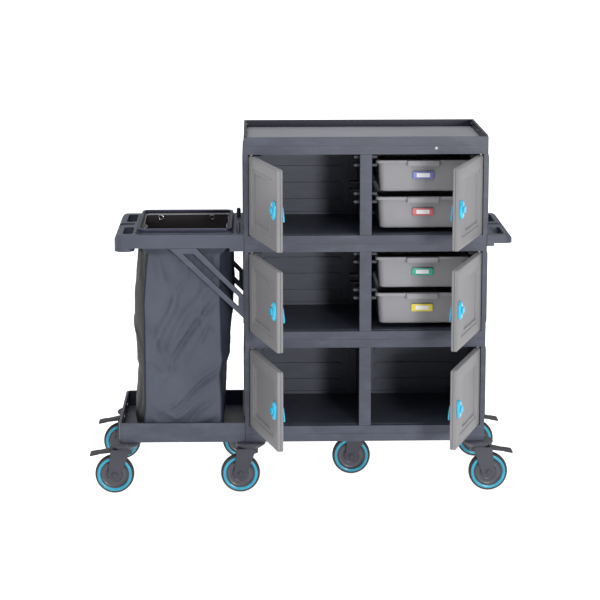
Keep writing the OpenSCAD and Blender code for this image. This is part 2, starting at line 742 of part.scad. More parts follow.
module latch_right_low() color(cyan) at_right(0) latch_shape();

base_deck();
mid_shelves();
top_tray();
tray_rim();
side_panels();
dividers();
back_panels();
drawer_runners();
push_handle();
bag_frame();
bag_hoop();
bag();
bag_platform();
bag_braces();
caster_housings();
frame_fasteners();
fork_fl();
fork_rl();
fork_fm();
fork_rm();
fork_fr();
fork_rr();
fork_mid();
wheel_fl();
wheel_rl();
wheel_fm();
wheel_rm();
wheel_fr();
wheel_rr();
wheel_mid();
pedal_fl();
pedal_rl();
pedal_fr();
pedal_rr();
drawer_a();
drawer_b();
drawer_c();
drawer_d();
label_a();
label_b();
label_c();
label_d();
door_left_top();
door_left_mid();
door_left_low();
door_right_top();
door_right_mid();
door_right_low();
plate_left_top();
plate_left_mid();
plate_left_low();
plate_right_top();
plate_right_mid();
plate_right_low();
latch_left_top();
latch_left_mid();
latch_left_low();
latch_right_top();
latch_right_mid();
latch_right_low();
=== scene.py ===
import json
import math
import bpy
import bmesh
import numpy as np
from mathutils import Matrix, Vector


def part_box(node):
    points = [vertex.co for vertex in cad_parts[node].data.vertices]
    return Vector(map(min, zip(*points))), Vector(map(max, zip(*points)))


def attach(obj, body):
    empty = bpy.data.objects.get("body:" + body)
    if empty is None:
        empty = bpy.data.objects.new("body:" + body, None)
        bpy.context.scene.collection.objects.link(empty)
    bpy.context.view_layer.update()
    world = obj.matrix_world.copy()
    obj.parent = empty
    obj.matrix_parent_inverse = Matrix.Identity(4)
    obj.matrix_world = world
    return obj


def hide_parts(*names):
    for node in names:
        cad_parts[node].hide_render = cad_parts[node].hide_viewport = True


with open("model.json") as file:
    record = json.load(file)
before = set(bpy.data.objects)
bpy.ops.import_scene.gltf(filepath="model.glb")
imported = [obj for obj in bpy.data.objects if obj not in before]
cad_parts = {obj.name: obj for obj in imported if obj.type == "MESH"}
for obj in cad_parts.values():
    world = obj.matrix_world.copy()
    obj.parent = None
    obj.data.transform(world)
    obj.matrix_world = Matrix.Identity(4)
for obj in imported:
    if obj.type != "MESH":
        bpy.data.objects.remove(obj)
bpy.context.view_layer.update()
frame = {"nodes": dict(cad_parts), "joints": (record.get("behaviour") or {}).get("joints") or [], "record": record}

nodes = frame["nodes"]
joints = {j["name"]: j for j in frame["joints"]}
mm = 0.001


# Lowest and highest corner of a node, in millimetres
def boxOf(node):
    low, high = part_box(node)
    return np.array(low) / mm, np.array(high) / mm


# Meshes worked out on grids

# Quads between neighbouring rows and columns of a grid, closed round if asked
def gridFaces(rows, cols, wrapRows=False, wrapCols=False):
    r = np.arange(rows if wrapRows else rows - 1)[:, None]
    c = np.arange(cols if wrapCols else cols - 1)[None, :]
    r2, c2 = (r + 1) % rows, (c + 1) % cols
    return np.stack([r * cols + c, r * cols + c2, r2 * cols + c2, r2 * cols + c],
                    -1).reshape(-1, 4)


# A piece from points in millimetres; sharp edges stay sharp past the given angle
def addPiece(name, points, faces, material, body, angle=35, uv=None, flip=False):
    mesh = bpy.data.meshes.new(name)
    faces = [tuple(int(i) for i in (f[::-1] if flip else f)) for f in faces]
    mesh.from_pydata((np.asarray(points, float).reshape(-1, 3) * mm).tolist(), [], faces)
    if uv is not None:
        layer = mesh.uv_layers.new(name="UVMap")
        index = np.empty(len(mesh.loops), np.int32)
        mesh.loops.foreach_get("vertex_index", index)
        layer.data.foreach_set("uv", np.asarray(uv, float).reshape(-1, 2)[index].ravel())
    mesh.shade_smooth()
    mesh.set_sharp_from_angle(angle=math.radians(angle))
    mesh.materials.append(material)
    piece = bpy.data.objects.new(name, mesh)
    bpy.context.scene.collection.objects.link(piece)
    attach(piece, body)
    return piece


# Corner points of a rounded rectangle, turning anticlockwise, as many at each corner
def roundLoop(x0, x1, y0, y1, r, steps):
    r = max(min(r, (x1 - x0) / 2 - 1e-3, (y1 - y0) / 2 - 1e-3), 1e-3)
    a = np.linspace(0, math.pi / 2, steps + 1)
    quarter = np.arange(4)[:, None]
    angle = a[None, :] + quarter * math.pi / 2
    cx = np.array([x1 - r, x0 + r, x0 + r, x1 - r])[:, None]
    cy = np.array([y1 - r, y1 - r, y0 + r, y0 + r])[:, None]
    return np.stack([cx + r * np.cos(angle), cy + r * np.sin(angle)], -1).reshape(-1, 2)


# The faces that close a stack of rings: the first ring backwards, the last forwards
def endCaps(rows, count):
    last = (rows - 1) * count
    return [list(range(count))[::-1], list(range(last, last + count))]


# Rounded rectangles stacked up, each (x0, x1, y0, y1, radius, height), with flat ends
def ringStack(rings, steps):
    count = 4 * (steps + 1)
    loops = [np.column_stack([roundLoop(*g[:5], steps), np.full(count, g[5])]) for g in rings]
    faces = gridFaces(len(rings), count, wrapCols=True).tolist()
    return np.concatenate(loops), faces + endCaps(len(rings), count)


# One ring of such a stack from its middle, half sizes and how far it is drawn in
def middleRing(cx, cy, halfWide, halfHigh, inset, r, height):
    return (cx - halfWide + inset, cx + halfWide - inset,
            cy - halfHigh + inset, cy + halfHigh - inset, r, height)


# Points of a profile of (radius, height) turned about the third axis
def turned(profile, count):
    profile = np.asarray(profile, float)
    a = np.arange(count) * 2 * math.pi / count
    ring = np.stack([np.cos(a), np.sin(a)], -1)
    heights = np.broadcast_to(profile[:, None, 1:], (len(profile), count, 1))
    return np.concatenate([profile[:, None, :1] * ring[None], heights], -1).reshape(-1, 3)


# A turned solid with closed ends, such as a bolt's head
def lathe(profile, count):
    faces = gridFaces(len(profile), count, wrapCols=True).tolist()
    return turned(profile, count), faces + endCaps(len(profile), count)


# A turned ring from a closed profile, such as a tyre
def latheRing(profile, count):
    faces = gridFaces(len(profile), count, wrapRows=True, wrapCols=True)
    return turned(profile, count), faces


# A round tube along a path: each circle stands across the path's own direction
def tube(path, radius, sides, closed=False):
    path = np.asarray(path, float)
    if closed:
        ahead = np.roll(path, -1, 0) - np.roll(path, 1, 0)
    else:
        ahead = np.gradient(path, axis=0)
    ahead /= np.linalg.norm(ahead, axis=1)[:, None]
    up = np.where(np.abs(ahead[:, 2:]) > 0.9, [[0.0, 1.0, 0.0]], [[0.0, 0.0, 1.0]])
    if np.abs(ahead[:, 2]).max() > 0.9:
        up = np.broadcast_to([[0.35, 0.93, 0.1]], ahead.shape)
    side = np.cross(up, ahead)
    side /= np.linalg.norm(side, axis=1)[:, None]
    over = np.cross(ahead, side)
    a = np.arange(sides) * 2 * math.pi / sides
    ring = np.cos(a)[None, :, None] * side[:, None] + np.sin(a)[None, :, None] * over[:, None]
    pts = path[:, None] + radius * ring
    faces = gridFaces(len(path), sides, wrapRows=closed, wrapCols=True).tolist()
    if not closed:
        faces += endCaps(len(path), sides)
    return pts.reshape(-1, 3), faces


# Points of a smooth curve through the given ones (Catmull-Rom), evenly many per span
def smoothPath(points, perSpan):
    p = np.asarray(points, float)
    q = np.concatenate([2 * p[:1] - p[1:2], p, 2 * p[-1:] - p[-2:-1]])
    t = np.linspace(0, 1, perSpan, endpoint=False)[None, :, None]
    a, b, c, d = (q[i:i + len(p) - 1][:, None] for i in range(4))
    curve = 0.5 * (2 * b + (c - a) * t + (2 * a - 5 * b + 4 * c - d) * t ** 2
                   + (3 * b - a - 3 * c + d) * t ** 3)
    return np.concatenate([curve.reshape(-1, p.shape[1]), p[-1:]])


# A placing of (a, b, c) triples: origin plus a, b and c along three directions
def placed(points, origin, ax, ay, az):
    m = np.array([ax, ay, az], float)
    return np.asarray(points, float) @ m + np.asarray(origin, float), np.linalg.det(m) < 0


# A piece made of stacked rings, placed by an origin and three directions
def ringPiece(name, rings, steps, stand, material, body):
    pts, faces = ringStack(rings, steps)
    pts, flip = placed(pts, *stand)
    return addPiece(name, pts, faces, material, body, flip=flip)


# The placing of what faces the front at a depth: width, height, then towards the viewer
def frontStand(y):
    return (0, y, 0), (1, 0, 0), (0, 0, 1), (0, -1, 0)


softening = {"merge": 2e-6, "flatDegrees": 0.6, "bevelDegrees": 32}


# A merged copy of a CAD node with softened edges, standing for that node
def soften(node, width, material, segments=2):
    mesh = nodes[node].data.copy()
    mesh.materials.clear()
    bm = bmesh.new()
    bm.from_mesh(mesh)
    bmesh.ops.remove_doubles(bm, verts=bm.verts, dist=softening["merge"])
    flat = math.radians(softening["flatDegrees"])
    bmesh.ops.dissolve_limit(bm, angle_limit=flat, verts=bm.verts, edges=bm.edges)
    bm.to_mesh(mesh)
    bm.free()
    mesh.shade_smooth()
    mesh.materials.append(material)
    piece = bpy.data.objects.new(f"{node}_moulding", mesh)
    bpy.context.scene.collection.objects.link(piece)
    bevel = piece.modifiers.new("edges", "BEVEL")
    bevel.width = width * mm
    bevel.segments = segments
    bevel.limit_method = "ANGLE"
    bevel.angle_limit = math.radians(softening["bevelDegrees"])
    bevel.use_clamp_overlap = True
    weighted = piece.modifiers.new("normals", "WEIGHTED_NORMAL")
    weighted.keep_sharp = False
    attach(piece, bodyOf[node])
    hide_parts(node)
    return piece


bodyOf = {n: b for b, ns in frame["record"]["behaviour"]["bodies"].items() for n in ns}


# One socket of a material; sums, differences and products of these add Math nodes
class Wire:
    def __init__(self, tree, socket):
        self.tree, self.socket = tree, socket

    # One Math node fed with the values in order
    def math(self, operation, *values):
        node = self.tree.nodes.new("ShaderNodeMath")
        node.operation = operation
        for place, value in zip(node.inputs, values):
            plug(self.tree, place, value)
        return Wire(self.tree, node.outputs[0])

    def __add__(self, other): return self.math("ADD", self, other)
    def __radd__(self, other): return self.math("ADD", other, self)
    def __sub__(self, other): return self.math("SUBTRACT", self, other)
    def __rsub__(self, other): return self.math("SUBTRACT", other, self)
    def __mul__(self, other): return self.math("MULTIPLY", self, other)
    def sine(self): return self.math("SINE", self)

    # 0 below the first value, 1 above the second, smooth between
    def step(self, low, high):
        node = self.tree.nodes.new("ShaderNodeMapRange")
        node.interpolation_type = "SMOOTHSTEP"
        for key, value in (("Value", self), ("From Min", low), ("From Max", high)):
            plug(self.tree, node.inputs[key], value)
        return Wire(self.tree, node.outputs[0])


# A value put in its place: a Wire is linked, three numbers become a colour
def plug(tree, place, value):
    if isinstance(value, Wire):
        tree.links.new(value.socket, place)
    elif isinstance(value, (tuple, list)) and len(value) == 3 and place.type == "RGBA":
        place.default_value = (*value, 1.0)
    else:
        place.default_value = value


# A material under construction: add() makes any node, blend() mixes colours, ends at one shader
class Finish:
    def __init__(self, name):
        self.material = bpy.data.materials.new(name)
        self.material.use_nodes = True
        self.tree = self.material.node_tree
        self.shader = self.tree.nodes["Principled BSDF"]

    # Any node with sockets filled in; gives one of its outputs
    def add(self, kind, sockets=None, out=0):
        node = self.tree.nodes.new(kind)
        for key, value in (sockets or {}).items():
            plug(self.tree, node.inputs[key], value)
        return Wire(self.tree, node.outputs[out])

    # The object's own coordinates, scaled along each axis
    def place(self, scale=(1, 1, 1)):
        coords = self.add("ShaderNodeTexCoord", out="Object")
        return self.add("ShaderNodeMapping", {"Vector": coords, "Scale": scale})

    # Layered noise about a half
    def noise(self, where, scale, detail=3.0, rough=0.55):
        sockets = {"Vector": where, "Scale": scale, "Detail": detail, "Roughness": rough}
        return self.add("ShaderNodeTexNoise", sockets, "Fac")

    # Distance to the nearest of scattered points
    def cells(self, where, scale):
        return self.add("ShaderNodeTexVoronoi", {"Vector": where, "Scale": scale}, "Distance")

    # The first colour turning into the second as the share goes from 0 to 1
    def blend(self, share, first, second):
        node = self.tree.nodes.new("ShaderNodeMix")
        node.data_type = "RGBA"
        for index, value in ((0, share), (6, first), (7, second)):
            plug(self.tree, node.inputs[index], value)
        return Wire(self.tree, node.outputs[2])

    # A bump of a height in 0 to 1 that stands for a distance in metres
    def bump(self, height, distance, strength):
        sockets = {"Height": height, "Distance": distance, "Strength": strength}
        return self.add("ShaderNodeBump", sockets)

    # The shader's own sockets filled in; gives the material
    def done(self, sockets):
        for key, value in sockets.items():
            plug(self.tree, self.shader.inputs[key], value)
        return self.material


# A colour times a gain plus a lift, kept below 1
def tinted(tone, gain, lift=0.0):
    return tuple(min(c * gain + lift, 1) for c in tone)


# Moulded plastic: leather-like grain, faint flow marks, scuffs that lighten, pale cloudy patches
def mouldedPlastic(name, tone, rough=0.5, cell=900, mottle=0.10, scuff=0.05, cloud=0.0):
    f = Finish(name)
    here = f.place()
    broad = f.noise(here, 3.2, 4, 0.6)
    fine = f.noise(here, 160, 2)
    flow = f.noise(f.place((9, 9, 1.1)), 6, 3)
    scratch = f.noise(f.place((4, 40, 300)), 5, 2).step(0.66, 0.8)
    pits = f.cells(here, cell)
    dark, light = tinted(tone, 1 - mottle * 1.4), tinted(tone, 1 + mottle, 0.004)
    base = f.blend(broad.step(0.3, 0.7), dark, light)
    base = f.blend(flow * 0.25, base, tinted(tone, 0.86))
    base = f.blend(scratch * scuff * broad.step(0.45, 0.6), base, tinted(tone, 1.6, 0.02))
    # pale cloudy patches that lighten the colour where the noise is high
    paleCloud = f.noise(f.place((1.6, 1.6, 5)), 5.5, 5, 0.62).step(0.44, 0.72)
    base = f.blend(paleCloud * cloud, base, tinted(tone, 1.45, 0.01))
    shine = rough + (fine - 0.5) * 0.12 + (broad - 0.5) * 0.16 - scratch * 0.05
    height = pits * 0.7 + fine * 0.3
    return f.done({"Base Color": base, "Roughness": shine, "Specular IOR Level": 0.3,
                   "Normal": f.bump(height, 0.00012, 0.6)})


# Smooth gloss plastic with faint swirls
def glossPlastic(name, tone, rough=0.3, coat=0.3):
    f = Finish(name)
    here = f.place()
    swirl = f.noise(here, 28, 4, 0.6)
    fine = f.noise(here, 700, 2)
    base = f.blend(swirl.step(0.3, 0.72), tinted(tone, 0.86), tinted(tone, 1.1, 0.004))
    return f.done({"Base Color": base, "Roughness": rough + (swirl - 0.5) * 0.2,
                   "Coat Weight": coat, "Coat Roughness": 0.15,
                   "Normal": f.bump(fine, 0.00004, 0.4)})


# Coated woven cloth: crossing threads on the UV map, in metres, slubs and a soft sheen
def wovenCloth(name, tone, thread=0.0016, rough=0.62, sheen=0.12):
    f = Finish(name)
    uv = f.add("ShaderNodeTexCoord", out="UV")
    split = f.tree.nodes.new("ShaderNodeSeparateXYZ")
    f.tree.links.new(uv.socket, split.inputs[0])
    across, along = Wire(f.tree, split.outputs[0]), Wire(f.tree, split.outputs[1])
    turns = 2 * math.pi / thread
    warp = (across * turns).sine() * 0.5 + 0.5
    weft = (along * turns).sine() * 0.5 + 0.5
    over = ((across * (turns / 2)).sine() * (along * (turns / 2)).sine()).step(-0.2, 0.2)
    weave = warp * over + weft * (1 - over)
    broad = f.noise(f.place(), 5, 5, 0.6)
    slub = f.noise(f.place((1, 1, 14)), 60, 2)
    base = f.blend(broad.step(0.3, 0.72), tinted(tone, 0.84), tinted(tone, 1.16))
    base = f.blend(weave * 0.35, base, tinted(tone, 1.45, 0.006))
    base = f.blend(slub.step(0.6, 0.75) * 0.25, base, tinted(tone, 0.7))
    height = weave * 0.8 + slub * 0.2
    return f.done({"Base Color": base, "Roughness": rough + (broad - 0.5) * 0.15,
                   "Specular IOR Level": 0.25, "Sheen Weight": sheen, "Sheen Roughness": 0.4,
                   "Normal": f.bump(height, 0.00022, 0.7)})


# Brushed or turned metal: fine streaks round an axis and slight darkening
def brightMetal(name, tone, rough=0.28):
    f = Finish(name)
    streak = f.noise(f.place((60, 60, 900)), 4, 3)
    broad = f.noise(f.place(), 90, 3)
    base = f.blend(broad.step(0.3, 0.7), tinted(tone, 0.75), tone)
    return f.done({"Base Color": base, "Metallic": 1.0, "Roughness": rough + (streak - 0.5) * 0.2,
                   "Normal": f.bump(streak, 0.00003, 0.5)})


# Painted tube: smooth satin paint with a trace of orange peel
def satinPaint(name, tone, rough=0.38):
    f = Finish(name)
    here = f.place()
    peel = f.noise(here, 420, 2)
    broad = f.noise(here, 18, 3)
    base = f.blend(broad.step(0.35, 0.7), tinted(tone, 0.85), tinted(tone, 1.2))
    return f.done({"Base Color": base, "Roughness": rough + (broad - 0.5) * 0.14,
                   "Normal": f.bump(peel, 0.00006, 0.5)})


# Tyre compound: matt, fine in grain and a little dusty
def tyreRubber(name, tone):
    f = Finish(name)
    here = f.place()
    dust = f.noise(here, 24, 5, 0.65)
    fine = f.noise(here, 900, 2)
    base = f.blend(dust.step(0.45, 0.8) * 0.5, tone, tinted(tone, 1.9, 0.015))
    return f.done({"Base Color": base, "Roughness": 0.72 + (dust - 0.5) * 0.2,
                   "Normal": f.bump(fine, 0.0001, 0.6)})


# Blank card: plain white stock with a faint tooth
def cardStock(name, tone):
    f = Finish(name)
    tooth = f.noise(f.place(), 1500, 3)
    broad = f.noise(f.place(), 40, 2)
    base = f.blend(broad.step(0.3, 0.7), tone, tinted(tone, 0.93))
    return f.done({"Base Color": base, "Roughness": 0.6 + (tooth - 0.5) * 0.1,
                   "Normal": f.bump(tooth, 0.00003, 0.5)})


tones = {
    "frame": (0.048, 0.054, 0.078),
    "panel": (0.076, 0.082, 0.108),
    "rim": (0.022, 0.024, 0.038),
    "trayFloor": (0.19, 0.195, 0.22),
    "door": (0.190, 0.187, 0.194),
    "drawer": (0.265, 0.265, 0.280),
    "latch": (0.0, 0.38, 0.60),
    "caster": (0.040, 0.041, 0.054),
    "bag": (0.058, 0.066, 0.090),
    # the outer (left) gusset is tinted near black, far darker than the inner gusset of the same cloth: painted
    # shade for the side turned away from the key light
    "shadedOuterGusset": (0.011, 0.010, 0.012),
    "innerGusset": (0.042, 0.047, 0.072),
    # the inside of the cloth in a dark brownish tone: painted shade for the dim inside of the bag
    "liningShade": (0.030, 0.026, 0.026),
    "piping": (0.014, 0.015, 0.028),
    "binding": (0.36, 0.36, 0.39),
    "hoop": (0.009, 0.011, 0.040),
    "tyre": (0.026, 0.024, 0.027),
    "ring": (0.004, 0.27, 0.40),
    "hub": (0.038, 0.037, 0.050),
}
framePlastic = mouldedPlastic("frame plastic", tones["frame"], 0.42, mottle=0.13, cloud=0.55)
panelPlastic = mouldedPlastic("panel plastic", tones["panel"], cloud=0.25)
rimPlastic = mouldedPlastic("rim plastic", tones["rim"], 0.42)
pedalPlastic = mouldedPlastic("pedal plastic", tinted(tones["caster"], 0.55), 0.4, 1400)
floorPlastic = mouldedPlastic("tray floor plastic", tones["trayFloor"], 0.42, 500, mottle=0.06)
doorPlastic = mouldedPlastic("door plastic", tones["door"], mottle=0.05, scuff=0.12)
drawerPlastic = mouldedPlastic("drawer plastic", tones["drawer"], 0.42, 1300, mottle=0.05)
casterPlastic = mouldedPlastic("caster plastic", tones["caster"], 0.45, 1400)
latchPlastic = glossPlastic("latch plastic", tones["latch"])
ringPlastic = glossPlastic("wheel ring plastic", tones["ring"], rough=0.36)
hubPlastic = glossPlastic("wheel hub plastic", tones["hub"], rough=0.42, coat=0.15)
tyreCompound = tyreRubber("tyre compound", tones["tyre"])
bagCloth = wovenCloth("bag cloth", tones["bag"])
shadedOuterCloth = wovenCloth("outer gusset cloth, painted shade", tones["shadedOuterGusset"], sheen=0.0)
innerCloth = wovenCloth("inner gusset cloth", tones["innerGusset"], sheen=0.0)
liningShadeCloth = wovenCloth("lining cloth, painted shade", tones["liningShade"], sheen=0.0)
pipingCloth = wovenCloth("piping cloth", tones["piping"], thread=0.0009, sheen=0.0)
bindingCloth = wovenCloth("binding cloth", tones["binding"], thread=0.0012)
hoopPaint = satinPaint("hoop paint", tones["hoop"])
steel = brightMetal("bright steel", (0.62, 0.62, 0.64))
pinSteel = brightMetal("dull steel", (0.22, 0.22, 0.24), rough=0.42)
card = cardStock("card stock", (0.82, 0.82, 0.84))
labelPlastics = {
    "a": glossPlastic("label blue", (0.13, 0.15, 0.42)),
    "b": glossPlastic("label red", (0.52, 0.09, 0.10)),
    "c": glossPlastic("label green", (0.0, 0.34, 0.22)),
    "d": glossPlastic("label yellow", (0.68, 0.56, 0.02)),
}
print("materials made")

# Cabinet, bag frame and handle: softened mouldings
mouldings = {  # node: (edge radius in mm, segments, material)
    "base_deck": (2.0, 2, framePlastic),
    "mid_shelves": (2.0, 2, framePlastic),
    "tray_rim": (2.0, 2, rimPlastic),
    "side_panels": (1.6, 2, framePlastic),
    "dividers": (1.6, 2, framePlastic),
    "back_panels": (2.2, 2, panelPlastic),
    "drawer_runners": (1.2, 2, casterPlastic),
    "push_handle": (5.0, 3, framePlastic),
    "bag_frame": (4.0, 3, framePlastic),
    "bag_platform": (3.0, 2, framePlastic),
    "bag_braces": (2.0, 2, framePlastic),
    "caster_housings": (1.6, 2, casterPlastic),
    "top_tray": (2.0, 2, framePlastic),
}
moulded = {node: soften(node, width, material, segments)
           for node, (width, segments, material) in mouldings.items()}
moulded["top_tray"].data.materials.append(floorPlastic)
padHeight = boxOf("tray_rim")[0][2]
for face in moulded["top_tray"].data.polygons:
    if face.normal.z > 0.9 and abs(face.center.z / mm - padHeight) < 3:
        face.material_index = 1
print("mouldings softened")


# Doors: two shells with a seam, a stepped panel outside and a shallow one inside
door = {
    "thick": 19, "pivotToEdge": 337, "corner": 5, "edge": 3, "seam": -1.2, "groove": 1.1,
    "seamGap": 0.25,
    # from, to, margin, corner radius, depth
    "panel": (42, 290, 34, 14, 3.0),
    "well": (54, 236, 46, 13, 8.0),
    "inside": (26, 312, 22, 12, 1.6),
}


# Rings from the seam to the face: the hinge side follows a half circle, the rest a small radius
def shellRings(height, base):
    half, edge, groove = door["thick"] / 2, door["edge"], door["groove"]
    levels = [base, base + 0.5] + list(np.linspace(base + 1.2, half - edge, 5))
    bend = np.linspace(0, math.pi / 2, 6)[1:]
    rings = [(0.0, lv) for lv in levels]
    rings += [(edge * (1 - math.cos(a)), half - edge + edge * math.sin(a)) for a in bend]
    out = []
    for k, (inset, lv) in enumerate(rings):
        sunk = groove if k == 0 else inset
        hinge = -math.sqrt(max(half ** 2 - lv ** 2, 0)) + (groove if k == 0 else 0)
        out.append((hinge, door["pivotToEdge"] - sunk, sunk, height - sunk, door["corner"], lv))
    return out


# A stepped pocket: down a slanted wall with rounded shoulders
def pocketRings(pocket, height, top, depth):
    x0, x1, margin, corner = pocket[:4]
    shoulders = ((-1.2, 0), (-0.3, 0.25), (0.4, 1.0),
                 (1.4, depth - 0.8), (2.2, depth - 0.15), (3.2, depth))
    return [(x0 + inset, x1 - inset, margin + inset, height - margin - inset,
             max(corner - inset, 2), top - drop) for inset, drop in shoulders]


# Where a door stands at rest: its pivot, the way along it, the way out of its face, its height
def doorPlacing(side, level):
    swing = joints[f"swing_{side}_{level}"]
    low, high = boxOf(f"door_{side}_{level}")
    sign = -1 if side == "left" else 1
    a = math.radians(-swing["range_deg"][0])
    pivot = np.array(swing["pos_m"]) / mm
    along = (-sign * math.cos(a), -math.sin(a), 0)
    outward = (sign * math.sin(a), -math.cos(a), 0)
    return (pivot[0], pivot[1], low[2]), along, outward, high[2] - low[2]


# One door: the outer shell with its panel and well, the inner one with a shallow panel
def makeDoor(side, level):
    origin, along, outward, height = doorPlacing(side, level)
    half, up = door["thick"] / 2, (0, 0, 1)
    node, body = f"door_{side}_{level}", f"door_body_{side}_{level}"
    depth, deep = door["panel"][4], door["well"][4]
    rings = shellRings(height, door["seam"] + door["seamGap"])
    rings += pocketRings(door["panel"], height, half, depth)
    rings += pocketRings(door["well"], height, half - depth, deep - depth)
    outer = ringPiece(f"{node}_outer", rings, 7, (origin, along, up, outward), doorPlastic, body)
    rings = shellRings(height, -door["seam"] + door["seamGap"])
    rings += pocketRings(door["inside"], height, half, door["inside"][4])
    inward = [-c for c in outward]
    inner = ringPiece(f"{node}_inner", rings, 7, (origin, along, up, inward), doorPlastic, body)
    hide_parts(node)


# Latches: a domed oval plate and two screws; the knob, spindle and hook are softened
latch = {"fromEdge": 27, "width": 34, "height": 57, "plate": 9, "shoulder": 3, "dome": 9.5,
         "screwAt": 19, "screwRadius": 3.6, "screwHeight": 2.4, "screwSunk": 1.6}


# A pan-head screw with a small dished middle
def screwHead(radius, height):
    profile = [(radius, 0), (radius, height * 0.45), (radius * 0.86, height * 0.85),
               (radius * 0.55, height), (radius * 0.42, height), (radius * 0.34, height * 0.45),
               (0.02, height * 0.4)]
    return lathe(profile, 24)


# One latch plate near the door's free edge: straight at the foot, then a quarter-round dome
def makeLatch(side, level):
    origin, along, outward, height = doorPlacing(side, level)
    half, up, body = door["thick"] / 2, (0, 0, 1), f"door_body_{side}_{level}"
    cx, cz = door["pivotToEdge"] - latch["fromEdge"], height / 2
    hw, hh = latch["width"] / 2, latch["height"] / 2
    thick, shoulder = latch["plate"], latch["shoulder"]
    rings = [(0.3, 0), (0, 0.5), (0, 2.6), (0.3, 3.3)]
    rings += [(latch["dome"] * (1 - math.cos(a)), shoulder + (thick - shoulder) * math.sin(a))
              for a in np.linspace(0.25, math.pi / 2, 8)]
    rings = [middleRing(cx, cz, hw, hh, inset, hw - inset - 0.01, half + h) for inset, h in rings]
    stand = (origin, along, up, outward)
    plate = ringPiece(f"latch_plate_{side}_{level}", rings, 12, stand, latchPlastic, body)
    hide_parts(f"plate_{side}_{level}")
    for k, s in enumerate((-1, 1)):
        pts, faces = screwHead(latch["screwRadius"], latch["screwHeight"])
        centre = (np.array(origin) + np.array(along) * cx
                  + np.array([0, 0, cz + s * latch["screwAt"]])
                  + np.array(outward) * (half + thick - latch["screwSunk"]))
        pts, flip = placed(pts, centre, along, up, outward)
        screw = addPiece(f"latch_screw_{side}_{level}_{k}", pts, faces, steel, body, flip=flip)


for side in ("left", "right"):
    for level in ("top", "mid", "low"):
        makeDoor(side, level)
        makeLatch(side, level)
        soften(f"latch_{side}_{level}", 0.8, latchPlastic, 2)
print("doors and latches made")


# Drawers: a thin tub with leaning walls and a rolled rim, a grip, a label holder and its card
drawer = {"lip": 8, "lipHeight": 10, "taper": 6, "wall": 3, "foot": 6, "roll": 2.4,
          "gripWidth": 104, "gripOut": 11, "gripDrop": 17, "padHeight": 20, "padWidth": 64}
label = {"border": 3.2, "corner": 3, "card": (41, 13), "cardThick": 0.5, "cardForward": 1.15}


